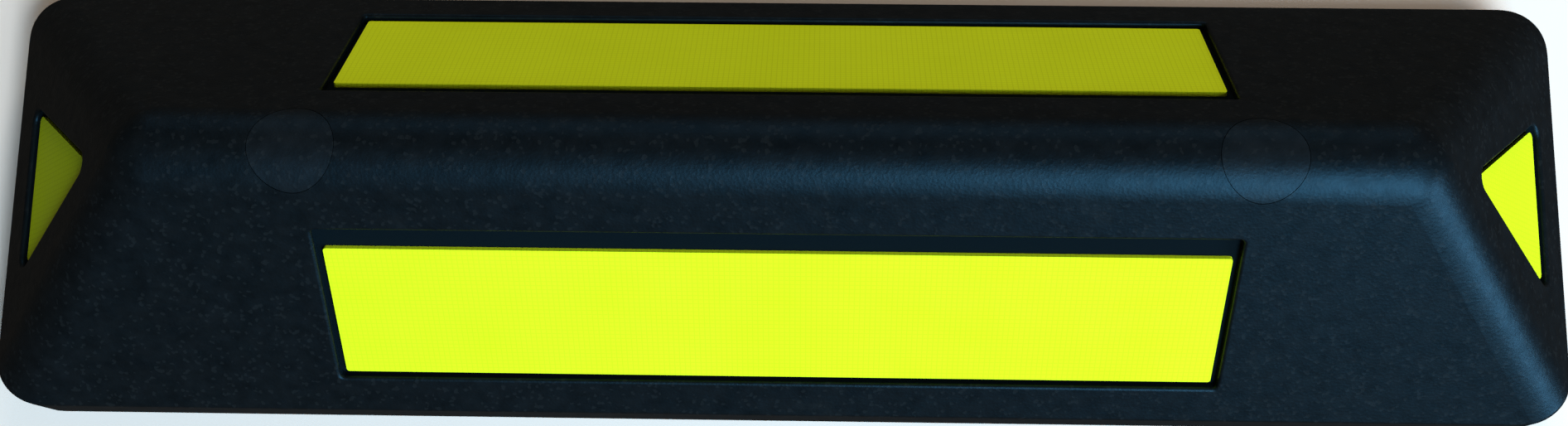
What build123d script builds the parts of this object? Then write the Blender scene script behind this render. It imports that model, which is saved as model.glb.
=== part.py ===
"""Moulded rubber parking wheel stop: a long hip-roofed block, bolted down through two
plugged holes on its ridge, with four retroreflective plates bonded into recesses.

Millimetres, +X along the block, -Y towards the front slope, +Z up.
The origin is on the ground, at the middle of the base.
"""
import os
from math import asin, atan2, cos, degrees, hypot, radians, sin, tan

from build123d import *

# Overall block
length = 550.0
width = 150.0
height = 100.0
rim_height = 19.0
corner_radius = 18.0
ridge_radius = 18.0
rim_edge_radius = 2.0

# Reflective plates and the recesses that hold them
plate_thickness = 1.6
plate_length = 296.0
plate_rise = 55.0
plate_lift = 17.0
plate_corner_radius = 1.0
end_plate_base = 54.0
end_plate_corner_radius = 2.0
recess_depth = 3.4
recess_corner_radius = 1.5
gap_above = 9.0
gap_beside = 2.2
gap_below = 1.8
recess_lip_radius = 1.2

# Anchor holes, for a hexagon-headed M10 anchor bolt and its socket
anchor_spacing = 307.0
anchor_hole_diameter = 12.0
bolt_head_bore_diameter = 24.6
seat_height = 40.0
washer_diameter = 36.0
washer_thickness = 4.0

# Hole plugs
plug_cap_diameter = 27.6
plug_cap_clearance = 0.2
plug_ledge_depth = 16.0
plug_skirt_clearance = 0.4
plug_skirt_length = 20.0
plug_skirt_wall = 2.2
plug_ring_count = 3
plug_ring_pitch = 5.5
plug_ring_height = 1.4
plug_ring_clearance = 0.2

# Relief pockets in the underside
base_rim_width = 32.0
end_margin = 50.0
boss_radius = 24.0
rib_thickness = 8.0
slope_wall = 18.0
pocket_columns = 5
pocket_corner_radius = 5.0

# The slope is the line from the rim's edge that is tangent to the rounded ridge
slope_run = width / 2
slope_rise = height - ridge_radius - rim_height
slope_angle = degrees(
    atan2(slope_rise, slope_run) + asin(ridge_radius / hypot(slope_run, slope_rise))
)
slope_gradient = tan(radians(slope_angle))
sharp_height = rim_height + slope_run * slope_gradient
skirt_reach = rim_height / slope_gradient

anchor_x = anchor_spacing / 2
ledge_height = height - plug_ledge_depth
cap_bore_radius = plug_cap_diameter / 2 + plug_cap_clearance
skirt_radius = bolt_head_bore_diameter / 2 - plug_skirt_clearance
ring_radius = bolt_head_bore_diameter / 2 - plug_ring_clearance


def slope_plane(turn, half_size):
    """The plane of one slope, with X along its rim, Y up the slope and Z outwards.

    turn is 0 for the front slope, 90 for the right end, 180 for the rear, 270 for the left.
    """
    across, along = sin(radians(turn)), cos(radians(turn))
    lean = radians(slope_angle)
    return Plane(
        origin=(across * half_size, -along * half_size, rim_height),
        x_dir=(along, across, 0),
        z_dir=(across * sin(lean), -along * sin(lean), cos(lean)),
    )


front_slope = slope_plane(0, width / 2)
rear_slope = slope_plane(180, width / 2)
right_slope = slope_plane(90, length / 2)
left_slope = slope_plane(270, length / 2)
recess_floor = -recess_depth


def long_plate_outline():
    """The outline of a front or rear plate, on its slope."""
    with Locations((0, plate_lift + plate_rise / 2)):
        RectangleRounded(plate_length, plate_rise, plate_corner_radius)


def long_recess_outline():
    """The recess round a long plate, with its wide gap above the plate."""
    rise = plate_rise + gap_above + gap_below
    with Locations((0, plate_lift - gap_below + rise / 2)):
        RectangleRounded(plate_length + 2 * gap_beside, rise, recess_corner_radius)


def end_plate_outline():
    """The triangular outline of an end plate, on its slope."""
    corners = [
        (-end_plate_base / 2, plate_lift),
        (end_plate_base / 2, plate_lift),
        (0, plate_lift + plate_rise),
    ]
    outline = Polygon(*corners, align=None)
    fillet(outline.vertices(), end_plate_corner_radius)


def end_recess_outline():
    """The recess round an end plate, one even gap wider than the plate."""
    end_plate_outline()
    offset(amount=gap_beside, kind=Kind.ARC, mode=Mode.REPLACE)


recesses = [
    (front_slope, long_recess_outline),
    (rear_slope, long_recess_outline),
    (left_slope, end_recess_outline),
    (right_slope, end_recess_outline),
]

# The outer form, before anything is cut into it
with BuildPart() as envelope:
    with BuildSketch(Plane.YZ):
        Polygon(
            (-width / 2 - skirt_reach, 0),
            (width / 2 + skirt_reach, 0),
            (0, sharp_height),
            align=None,
        )
    extrude(amount=length, both=True)
    # The end profile runs on above the ridge, so that the ridge is a clean edge
    overrun = height / 4
    end_top = (length - width) / 2 - overrun / slope_gradient
    with BuildSketch(Plane.XZ):
        Polygon(
            (-length / 2 - skirt_reach, 0),
            (length / 2 + skirt_reach, 0),
            (end_top, sharp_height + overrun),
            (-end_top, sharp_height + overrun),
            align=None,
        )
    extrude(amount=width, both=True, mode=Mode.INTERSECT)
    ridge_and_hips = envelope.edges().filter_by(lambda edge: edge.center().Z > rim_height)
    fillet(ridge_and_hips, ridge_radius)
    with BuildSketch(Plane.XY):
        RectangleRounded(length, width, corner_radius)
    extrude(amount=sharp_height, mode=Mode.INTERSECT)


def is_rim_edge(edge):
    """True for the edges where the upright rim meets the slopes."""
    start, end = edge @ 0, edge @ 1
    level = abs(start.Z - end.Z) < rim_height / 2
    above_base = min(start.Z, end.Z) > rim_height / 2
    footprint_x = length / 2 - corner_radius
    footprint_y = width / 2 - corner_radius
    middle = edge.center()
    outer = abs(middle.X) > footprint_x or abs(middle.Y) > footprint_y
    return level and above_base and outer and middle.Z < rim_height + corner_radius / 2


def on_recess_mouth(plane):
    """A test for the edges of one slope's recess that lie in the slope itself."""
    low = plate_lift / 2
    high = plate_lift + plate_rise + gap_above + gap_below
    reach = plate_length / 2 + 2 * gap_beside
    flatness = 0.01

    def test(edge):
        middle = plane.to_local_coords(edge.center())
        return abs(middle.Z) < flatness and low < middle.Y < high and abs(middle.X) < reach

    return test


with BuildPart() as rubber_body:
    add(envelope.part)
    fillet(rubber_body.edges().filter_by(is_rim_edge), rim_edge_radius)

    for plane, outline in recesses:
        with BuildSketch(plane):
            outline()
        extrude(amount=recess_floor, mode=Mode.SUBTRACT)
        fillet(rubber_body.edges().filter_by(on_recess_mouth(plane)), recess_lip_radius)

    # Stepped anchor holes: cap bore, bolt head bore, washer groove and bolt hole
    steps = [
        (cap_bore_radius, ledge_height, height),
        (bolt_head_bore_diameter / 2, seat_height, ledge_height),
        (washer_diameter / 2, seat_height - washer_thickness, seat_height),
        (anchor_hole_diameter / 2, 0, seat_height - washer_thickness),
    ]
    for radius, low, high in steps:
        with BuildSketch(Plane.XY.offset(low)):
            with Locations((-anchor_x, 0), (anchor_x, 0)):
                Circle(radius)
        extrude(amount=high - low, mode=Mode.SUBTRACT)

    # Relief pockets: a grid between the two bosses and a pair outside each
    pocket_reach = width / 2 - base_rim_width
    pocket_width = pocket_reach - rib_thickness / 2
    pocket_depth = (
        rim_height
        + base_rim_width * slope_gradient
        - slope_wall / cos(radians(slope_angle))
    )
    column_pitch = 2 * (anchor_x - boss_radius) / pocket_columns
    end_pocket_start = anchor_x + boss_radius
    end_pocket_length = length / 2 - end_margin - end_pocket_start
    row_pitch = pocket_width + rib_thickness
    with BuildSketch(Plane.XY):
        with GridLocations(column_pitch, row_pitch, pocket_columns, 2):
            RectangleRounded(
                column_pitch - rib_thickness, pocket_width, pocket_corner_radius
            )
        end_pitch = 2 * end_pocket_start + end_pocket_length
        with GridLocations(end_pitch, row_pitch, 2, 2):
            RectangleRounded(end_pocket_length, pocket_width, pocket_corner_radius)
    extrude(amount=pocket_depth, mode=Mode.SUBTRACT)

with BuildPart() as front_panel:
    with BuildSketch(front_slope.offset(recess_floor)):
        long_plate_outline()
    extrude(amount=plate_thickness)

with BuildPart() as rear_panel:
    with BuildSketch(rear_slope.offset(recess_floor)):
        long_plate_outline()
    extrude(amount=plate_thickness)

with BuildPart() as left_end_panel:
    with BuildSketch(left_slope.offset(recess_floor)):
        end_plate_outline()
    extrude(amount=plate_thickness)

with BuildPart() as right_end_panel:
    with BuildSketch(right_slope.offset(recess_floor)):
        end_plate_outline()
    extrude(amount=plate_thickness)

with BuildPart() as seat_washers:
    with BuildSketch(Plane.XY.offset(seat_height - washer_thickness)):
        with Locations((-anchor_x, 0), (anchor_x, 0)):
            Circle(washer_diameter / 2)
            Circle(anchor_hole_diameter / 2, mode=Mode.SUBTRACT)
    extrude(amount=washer_thickness)


def hole_plug(x):
    """A plug whose top carries on the ridge, with a ringed, hollow skirt below."""
    skirt_foot = ledge_height - plug_skirt_length
    with BuildPart() as plug:
        with BuildSketch(Plane.XY.offset(ledge_height)):
            with Locations((x, 0)):
                Circle(plug_cap_diameter / 2)
        extrude(amount=plug_ledge_depth)
        add(envelope.part, mode=Mode.INTERSECT)
        with BuildSketch(Plane.XY.offset(skirt_foot)):
            with Locations((x, 0)):
                Circle(skirt_radius)
        extrude(amount=plug_skirt_length)
        for ring in range(plug_ring_count):
            ring_foot = skirt_foot + plug_ring_pitch / 2 + ring * plug_ring_pitch
            with BuildSketch(Plane.XY.offset(ring_foot)):
                with Locations((x, 0)):
                    Circle(ring_radius)
            extrude(amount=plug_ring_height)
        with BuildSketch(Plane.XY.offset(skirt_foot)):
            with Locations((x, 0)):
                Circle(skirt_radius - plug_skirt_wall)
        extrude(amount=plug_skirt_length, mode=Mode.SUBTRACT)
    return plug


left_hole_plug = hole_plug(-anchor_x)
right_hole_plug = hole_plug(anchor_x)

pieces = {
    "rubber_body": rubber_body,
    "front_panel": front_panel,
    "rear_panel": rear_panel,
    "left_end_panel": left_end_panel,
    "right_end_panel": right_end_panel,
    "seat_washers": seat_washers,
    "left_hole_plug": left_hole_plug,
    "right_hole_plug": right_hole_plug,
}

os.makedirs("parts", exist_ok=True)
for name, piece in pieces.items():
    piece.part.label = name
    export_step(piece.part, f"parts/{name}.step")
print(f"slope {slope_angle:.2f} degrees, pockets {pocket_depth:.1f} deep")
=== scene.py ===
"""The looks of a rubber parking wheel stop: materials, light, floor and camera round the frame.

Metres, in the frame's own axes: +X along the stop, -Y towards its front slope, +Z up.
"""
import math

import bpy
from mathutils import Matrix, Vector


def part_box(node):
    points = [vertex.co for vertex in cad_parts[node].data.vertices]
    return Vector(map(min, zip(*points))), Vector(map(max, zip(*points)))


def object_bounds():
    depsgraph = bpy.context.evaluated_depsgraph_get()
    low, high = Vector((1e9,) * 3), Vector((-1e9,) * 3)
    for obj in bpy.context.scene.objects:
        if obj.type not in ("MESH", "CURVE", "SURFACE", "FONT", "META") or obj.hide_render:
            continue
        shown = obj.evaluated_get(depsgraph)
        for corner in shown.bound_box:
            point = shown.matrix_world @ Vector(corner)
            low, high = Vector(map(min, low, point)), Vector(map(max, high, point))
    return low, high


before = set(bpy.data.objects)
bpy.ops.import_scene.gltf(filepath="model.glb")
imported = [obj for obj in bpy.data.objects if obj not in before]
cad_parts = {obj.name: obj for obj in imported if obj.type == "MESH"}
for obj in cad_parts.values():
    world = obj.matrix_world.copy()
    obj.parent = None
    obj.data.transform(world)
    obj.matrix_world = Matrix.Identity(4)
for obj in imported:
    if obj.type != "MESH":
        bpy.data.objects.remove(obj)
cad_low, cad_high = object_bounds()
centre = (cad_low + cad_high) / 2
length = cad_high.x - cad_low.x

# Camera: where it stands, which way it looks (degrees) and its lens
CAMERA_PLACE = Vector((0.0147, -0.1406, 0.6810))
CAMERA_AZIMUTH = 5.52
CAMERA_ELEVATION = 78.21
CAMERA_ROLL = -4.75
CAMERA_LENS_MM = 43.67
CAMERA_SENSOR_MM = 36.0

X_AXIS = 0
Y_AXIS = 1
STRAIGHT_UP = Vector((0, 0, 1))
# A face looks up if its normal rises more than this
LOOKS_UP = 0.1

# Seen from above, no recess reaches further than this past its plate
RECESS_REACH = 0.0060
# How far above the plates' outer faces a recess turns matte and takes painted shade, just below its
# rounded lip
MATTE_ABOVE_PLATE = 0.0004
BED_ROUGHNESS = 0.95

# The granules brighter than this, from 0 to 1, are grey flecks
FLECK_LIMIT = 0.80
# The share of grey in a fleck, and in the middle of a scuff
FLECK_STRENGTH = 0.22
SCUFF_STRENGTH = 0.26

# Rubber: its gloss, how strongly its grain shows, and its lowest and highest roughness
RUBBER_SPECULAR = 0.30
GRAIN_STRENGTH = 0.22
BODY_ROUGHNESS = (0.38, 0.46)
PLUG_ROUGHNESS = (0.40, 0.46)

# Colours, as linear red, green, blue and alpha
RUBBER_DARK = (0.0024, 0.0026, 0.0028, 1)
RUBBER_LIGHT = (0.0050, 0.0054, 0.0058, 1)
RUBBER_SHEEN = (0.42, 0.78, 1.0, 1)
CRUMB_GREY = (0.020, 0.021, 0.021, 1)
# Painted shade for the recess beds and walls, darker than the rubber
BED_PAINTED_SHADE = (0.0015, 0.0016, 0.0015, 1)
PLUG_DARK = (0.0042, 0.0047, 0.0052, 1)
PLUG_LIGHT = (0.0078, 0.0086, 0.0096, 1)
YELLOW_DEEP = (0.74, 0.85, 0.010, 1)
YELLOW_BRIGHT = (0.79, 0.90, 0.014, 1)
SEAM_GREY = (0.45, 0.45, 0.45, 1)
WHITE = (1, 1, 1, 1)
ZINC_DARK = (0.42, 0.42, 0.40, 1)
ZINC_LIGHT = (0.62, 0.62, 0.60, 1)
# The floor is warm, so that under the cool lights it comes out nearly neutral
FLOOR_DARK = (0.90, 0.75, 0.66, 1)
FLOOR_LIGHT = (0.93, 0.78, 0.69, 1)
WORLD_GLOW = (1.0, 0.88, 0.73, 1)
WORLD_STRENGTH = 0.05

# From the middle of the floor to its edge, in lengths of the stop
FLOOR_REACH = 12


class Nodes:
    """A material's node tree, with short calls for the nodes that are used here."""

    # A mix node's sockets for colours: the first, the second and the result
    FIRST_COLOUR = 6
    SECOND_COLOUR = 7
    MIXED_COLOUR = 2

    def __init__(self, name):
        self.material = bpy.data.materials.new(name)
        self.material.use_nodes = True
        self.tree = self.material.node_tree
        self.shader = self.tree.nodes["Principled BSDF"]
        self.place = self.add("ShaderNodeTexCoord").outputs["Object"]

    def add(self, kind, **settings):
        node = self.tree.nodes.new(kind)
        for key, value in settings.items():
            setattr(node, key, value)
        return node

    def link(self, source, target):
        self.tree.links.new(source, target)

    def turned(self, rotation):
        """The object's coordinates turned by an Euler rotation."""
        mapping = self.add("ShaderNodeMapping", vector_type="POINT")
        mapping.inputs["Rotation"].default_value = rotation
        self.link(self.place, mapping.inputs["Vector"])
        return mapping.outputs["Vector"]

    def noise(self, scale, detail=4.0, roughness=0.55, vector=None):
        node = self.add("ShaderNodeTexNoise")
        node.inputs["Scale"].default_value = scale
        node.inputs["Detail"].default_value = detail
        node.inputs["Roughness"].default_value = roughness
        self.link(vector or self.place, node.inputs["Vector"])
        return node.outputs["Fac"]

    def ramp(self, source, low, high, start=0.3, end=0.7):
        """A colour that goes from low to high as source goes from start to end."""
        node = self.add("ShaderNodeValToRGB")
        node.color_ramp.elements[0].position = start
        node.color_ramp.elements[0].color = low
        node.color_ramp.elements[1].position = end
        node.color_ramp.elements[1].color = high
        self.link(source, node.inputs["Fac"])
        return node.outputs["Color"]

    def spread(self, source, low, high, start=0.3, end=0.7):
        """A value that goes from low to high as source goes from start to end."""
        node = self.add("ShaderNodeMapRange")
        ends = {"From Min": start, "From Max": end, "To Min": low, "To Max": high}
        for key, value in ends.items():
            node.inputs[key].default_value = value
        self.link(source, node.inputs["Value"])
        return node.outputs["Result"]

    def math(self, operation, first, second=None):
        """One sum on one or two values, each a number or another node's output."""
        node = self.add("ShaderNodeMath", operation=operation)
        for socket, value in zip(node.inputs, (first, second)):
            if isinstance(value, (int, float)):
                socket.default_value = value
            elif value is not None:
                self.link(value, socket)
        return node.outputs["Value"]

    def mixed(self, share, colour, other):
        """colour, with a share of another, plain colour in it."""
        node = self.add("ShaderNodeMix", data_type="RGBA")
        self.link(share, node.inputs["Factor"])
        self.link(colour, node.inputs[self.FIRST_COLOUR])
        node.inputs[self.SECOND_COLOUR].default_value = other
        return node.outputs[self.MIXED_COLOUR]

    def multiplied(self, colour, tint, share):
        """colour multiplied by a tint, with a share of the full effect."""
        node = self.add("ShaderNodeMix", data_type="RGBA", blend_type="MULTIPLY")
        node.inputs["Factor"].default_value = share
        self.link(colour, node.inputs[self.FIRST_COLOUR])
        self.link(tint, node.inputs[self.SECOND_COLOUR])
        return node.outputs[self.MIXED_COLOUR]

    def bump(self, height, strength, distance, normal=None):
        node = self.add("ShaderNodeBump")
        node.inputs["Strength"].default_value = strength
        node.inputs["Distance"].default_value = distance
        self.link(height, node.inputs["Height"])
        if normal is not None:
            self.link(normal, node.inputs["Normal"])
        return node.outputs["Normal"]

    def finish(self, colour, roughness, normal):
        self.link(colour, self.shader.inputs["Base Color"])
        self.link(roughness, self.shader.inputs["Roughness"])
        self.link(normal, self.shader.inputs["Normal"])
        return self.material


def outer_face(node):
    """The largest polygon of a plate that looks up, which lies in its outer face."""
    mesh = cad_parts[node].data
    return max((p for p in mesh.polygons if p.normal.z > LOOKS_UP), key=lambda p: p.area)


def face_turn(node):
    """The rotation that lays a plate's outer face flat, so that patterns lie in the plate."""
    return outer_face(node).normal.to_track_quat("Z", "Y").inverted().to_euler()


def below_plate(nodes, node, axis, from_middle, height):
    """How far points lie below the plane of a plate's outer face, which slopes along one axis."""
    face = outer_face(node)
    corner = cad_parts[node].data.vertices[face.vertices[0]].co
    lean = face.normal.angle(STRAIGHT_UP)
    inwards = nodes.math("SUBTRACT", abs(corner[axis]), from_middle)
    upwards = nodes.math("SUBTRACT", height, corner.z)
    sunk = nodes.math("MULTIPLY", inwards, math.sin(lean))
    return nodes.math("SUBTRACT", sunk, nodes.math("MULTIPLY", upwards, math.cos(lean)))


def recess_bed(nodes):
    """1 on the beds and walls of the four recesses, and 0 on all else that shows from above.

    The tops of the pockets in the underside lie as deep below the plates, and are 1 as well.
    """
    parts = nodes.add("ShaderNodeSeparateXYZ")
    nodes.link(nodes.place, parts.inputs["Vector"])
    along = nodes.math("ABSOLUTE", parts.outputs["X"])
    across = nodes.math("ABSOLUTE", parts.outputs["Y"])
    height = parts.outputs["Z"]
    long_low, long_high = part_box("front_panel")
    end_low, end_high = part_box("right_end_panel")

    from_long = below_plate(nodes, "front_panel", Y_AXIS, across, height)
    from_end = below_plate(nodes, "right_end_panel", X_AXIS, along, height)
    depth = nodes.math("MINIMUM", from_long, from_end)
    sunk = nodes.math("GREATER_THAN", depth, -MATTE_ABOVE_PLATE)

    # The long recesses fill a rectangle, and the end ones a triangle that widens outwards
    long_top = nodes.math("GREATER_THAN", across, -long_high.y - RECESS_REACH)
    long_end = nodes.math("LESS_THAN", along, long_high.x + RECESS_REACH)
    in_long = nodes.math("MULTIPLY", long_top, long_end)
    widening = end_high.y / (end_high.x - end_low.x)
    from_tip = nodes.math("SUBTRACT", along, end_low.x - RECESS_REACH)
    half_width = nodes.math("MULTIPLY", from_tip, widening)
    in_end = nodes.math("LESS_THAN", across, half_width)
    inside = nodes.math("MAXIMUM", in_long, in_end)
    above_rim = nodes.math("GREATER_THAN", height, long_low.z - RECESS_REACH / 2)
    return nodes.math("MULTIPLY", nodes.math("MULTIPLY", inside, above_rim), sunk)


def rubber(name, dark, light, rough, painted_bed_shade=False):
    """Moulded recycled rubber: fine crumb, grey flecks, scuffs, soft ripple and a cool, thin sheen.

    rough is its lowest and highest roughness. With bed shading on, its recesses are matte and darkened
    with painted shade.
    """
    nodes = Nodes(name)
    nodes.shader.inputs["Specular IOR Level"].default_value = RUBBER_SPECULAR
    nodes.shader.inputs["Specular Tint"].default_value = RUBBER_SHEEN
    blotches = nodes.noise(scale=160.0, detail=6.0)
    crumb = nodes.noise(scale=1500.0, detail=3.0, roughness=0.7)
    ripple = nodes.noise(scale=55.0, detail=2.0)
    colour = nodes.ramp(blotches, dark, light)
    granules = nodes.add("ShaderNodeTexVoronoi")
    granules.inputs["Scale"].default_value = 850.0
    nodes.link(nodes.place, granules.inputs["Vector"])
    flecks = nodes.math("GREATER_THAN", granules.outputs["Color"], FLECK_LIMIT)
    colour = nodes.mixed(nodes.math("MULTIPLY", flecks, FLECK_STRENGTH), colour, CRUMB_GREY)
    clouds = nodes.noise(scale=38.0, detail=9.0, roughness=0.72)
    scuffs = nodes.spread(clouds, low=0.0, high=SCUFF_STRENGTH, start=0.60, end=0.76)
    colour = nodes.mixed(scuffs, colour, CRUMB_GREY)
    roughness = nodes.spread(nodes.noise(scale=240.0, detail=5.0), *rough)
    if painted_bed_shade:
        mask = recess_bed(nodes)
        matte = nodes.math("MULTIPLY", mask, BED_ROUGHNESS)
        roughness = nodes.math("MAXIMUM", roughness, matte)
        # Painted shade: the recess beds and walls are coloured near black
        colour = nodes.mixed(mask, colour, BED_PAINTED_SHADE)
    soft = nodes.bump(ripple, strength=0.02, distance=0.0005)
    pebbled = nodes.bump(granules.outputs["Distance"], GRAIN_STRENGTH, distance=0.00018, normal=soft)
    fine = nodes.bump(crumb, GRAIN_STRENGTH, distance=0.00020, normal=pebbled)
    return nodes.finish(colour, roughness, fine)


def reflective(name, node):
    """Fluorescent prismatic sheet under clear film, with fine square cells that lie in the plate."""
    nodes = Nodes(name)
    nodes.shader.inputs["Specular IOR Level"].default_value = 0.10
    nodes.shader.inputs["Coat Weight"].default_value = 0.06
    nodes.shader.inputs["Coat Roughness"].default_value = 0.12
    flat = nodes.turned(face_turn(node))
    cells = nodes.add("ShaderNodeTexVoronoi", feature="DISTANCE_TO_EDGE", voronoi_dimensions="2D")
    cells.inputs["Scale"].default_value = 560.0
    cells.inputs["Randomness"].default_value = 0.0
    nodes.link(flat, cells.inputs["Vector"])
    seams = nodes.spread(cells.outputs["Distance"], low=0.0, high=1.0, start=0.02, end=0.14)
    clouds = nodes.noise(scale=22.0, detail=5.0, vector=flat)
    tone = nodes.ramp(clouds, YELLOW_DEEP, YELLOW_BRIGHT, start=0.15, end=0.6)
    seam_tint = nodes.ramp(seams, SEAM_GREY, WHITE, start=0.0, end=1.0)
    colour = nodes.multiplied(tone, seam_tint, share=0.22)
    wear = nodes.noise(scale=60.0, detail=4.0, vector=flat)
    roughness = nodes.spread(wear, low=0.30, high=0.45)
    grid = nodes.bump(seams, strength=0.20, distance=0.00008)
    return nodes.finish(colour, roughness, grid)


def zinc(name):
    """Zinc-plated steel, cloudy and finely pitted."""
    nodes = Nodes(name)
    nodes.shader.inputs["Metallic"].default_value = 1.0
    colour = nodes.ramp(nodes.noise(scale=120.0), ZINC_DARK, ZINC_LIGHT)
    roughness = nodes.spread(nodes.noise(scale=300.0), low=0.28, high=0.50)
    pits = nodes.bump(nodes.noise(scale=900.0), strength=0.2, distance=0.0001)
    return nodes.finish(colour, roughness, pits)


def finish_node(node, material):
    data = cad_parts[node].data
    data.materials.clear()
    data.materials.append(material)


def floor_paint():
    """Pale, nearly matte paint with faint clouds."""
    nodes = Nodes("floor_paint")
    nodes.shader.inputs["Specular IOR Level"].default_value = 0.1
    tone = nodes.ramp(nodes.noise(scale=3.0), FLOOR_DARK, FLOOR_LIGHT)
    roughness = nodes.spread(nodes.noise(scale=6.0), low=0.75, high=0.9)
    grit = nodes.bump(nodes.noise(scale=200.0), strength=0.05, distance=0.0003)
    return nodes.finish(tone, roughness, grit)


def make_floor():
    half = FLOOR_REACH * length
    mesh = bpy.data.meshes.new("floor")
    corners = [(-half, -half, 0), (half, -half, 0), (half, half, 0), (-half, half, 0)]
    mesh.from_pydata(corners, [], [(0, 1, 2, 3)])
    mesh.materials.append(floor_paint())
    floor = bpy.data.objects.new("floor", mesh)
    bpy.context.scene.collection.objects.link(floor)
    # The floor neither shows in the stop's gloss nor lights its slopes, as if dark cards stood round it
    floor.visible_glossy = False
    floor.visible_diffuse = False


def soft_light(name, direction, distance, size, power, colour, glints=True):
    """An area light, wide and high as size says, that shines on the middle of the stop.

    One without glints lights the surfaces, and doesn't show in their gloss.
    """
    light = bpy.data.lights.new(name, "AREA")
    light.shape = "RECTANGLE"
    light.size, light.size_y = size
    light.energy = power
    light.color = colour
    lamp = bpy.data.objects.new(name, light)
    toward = Vector(direction).normalized()
    lamp.location = centre + toward * distance
    lamp.rotation_euler = toward.to_track_quat("Z", "Y").to_euler()
    lamp.visible_glossy = glints
    bpy.context.scene.collection.objects.link(lamp)


def make_lights():
    """A warm key and rear fill without glints, and three cool lights that show in the gloss as well."""
    soft_light("key", direction=(0.46, -0.50, 0.73), distance=3.2, size=(1.3, 1.3),
               power=75.0, colour=(1.0, 0.98, 0.94), glints=False)
    soft_light("rear_fill", direction=(0.16, 0.89, 0.42), distance=3.2, size=(1.6, 1.2),
               power=36.0, colour=(1.0, 0.89, 0.70), glints=False)
    soft_light("rear_cool", direction=(0.0, 0.90, 0.43), distance=3.0, size=(2.6, 1.6),
               power=8.0, colour=(0.34, 0.70, 1.0))
    soft_light("front_cool", direction=(0.40, -0.68, 0.62), distance=3.0, size=(1.4, 2.6),
               power=126.0, colour=(0.33, 0.70, 1.0))
    soft_light("right_cool", direction=(0.88, -0.50, 0.14), distance=3.0, size=(1.1, 1.1),
               power=42.0, colour=(0.28, 0.66, 1.0))


def make_world():
    """A dim, warm glow from all round."""
    world = bpy.data.worlds.new("studio")
    world.use_nodes = True
    background = world.node_tree.nodes["Background"]
    background.inputs["Color"].default_value = WORLD_GLOW
    background.inputs["Strength"].default_value = WORLD_STRENGTH
    bpy.context.scene.world = world


def make_camera():
    """The camera, placed and turned to match the photo's view."""
    azimuth, elevation, roll = (
        math.radians(a) for a in (CAMERA_AZIMUTH, CAMERA_ELEVATION, CAMERA_ROLL)
    )
    level = math.cos(elevation)
    back = Vector((math.sin(azimuth) * level, -math.cos(azimuth) * level, math.sin(elevation)))
    right = (-back).cross(STRAIGHT_UP).normalized()
    up = back.cross(right)
    turned_right = right * math.cos(roll) + up * math.sin(roll)
    turned_up = up * math.cos(roll) - right * math.sin(roll)
    data = bpy.data.cameras.new("camera")
    data.sensor_width = CAMERA_SENSOR_MM
    data.lens = CAMERA_LENS_MM
    camera = bpy.data.objects.new("camera", data)
    axes = Matrix((turned_right, turned_up, back)).transposed().to_4x4()
    camera.matrix_world = Matrix.Translation(CAMERA_PLACE) @ axes
    bpy.context.scene.collection.objects.link(camera)
    bpy.context.scene.camera = camera


body_rubber = rubber("moulded_rubber", RUBBER_DARK, RUBBER_LIGHT, BODY_ROUGHNESS, painted_bed_shade=True)
finish_node("rubber_body", body_rubber)
for plug in ("left_hole_plug", "right_hole_plug"):
    finish_node(plug, rubber(f"{plug}_rubber", PLUG_DARK, PLUG_LIGHT, PLUG_ROUGHNESS))
for panel in ("front_panel", "rear_panel", "left_end_panel", "right_end_panel"):
    finish_node(panel, reflective(f"{panel}_sheet", panel))
finish_node("seat_washers", zinc("washer_zinc"))

make_floor()
make_lights()
make_world()
make_camera()
bpy.context.scene.view_settings.view_transform = "Standard"
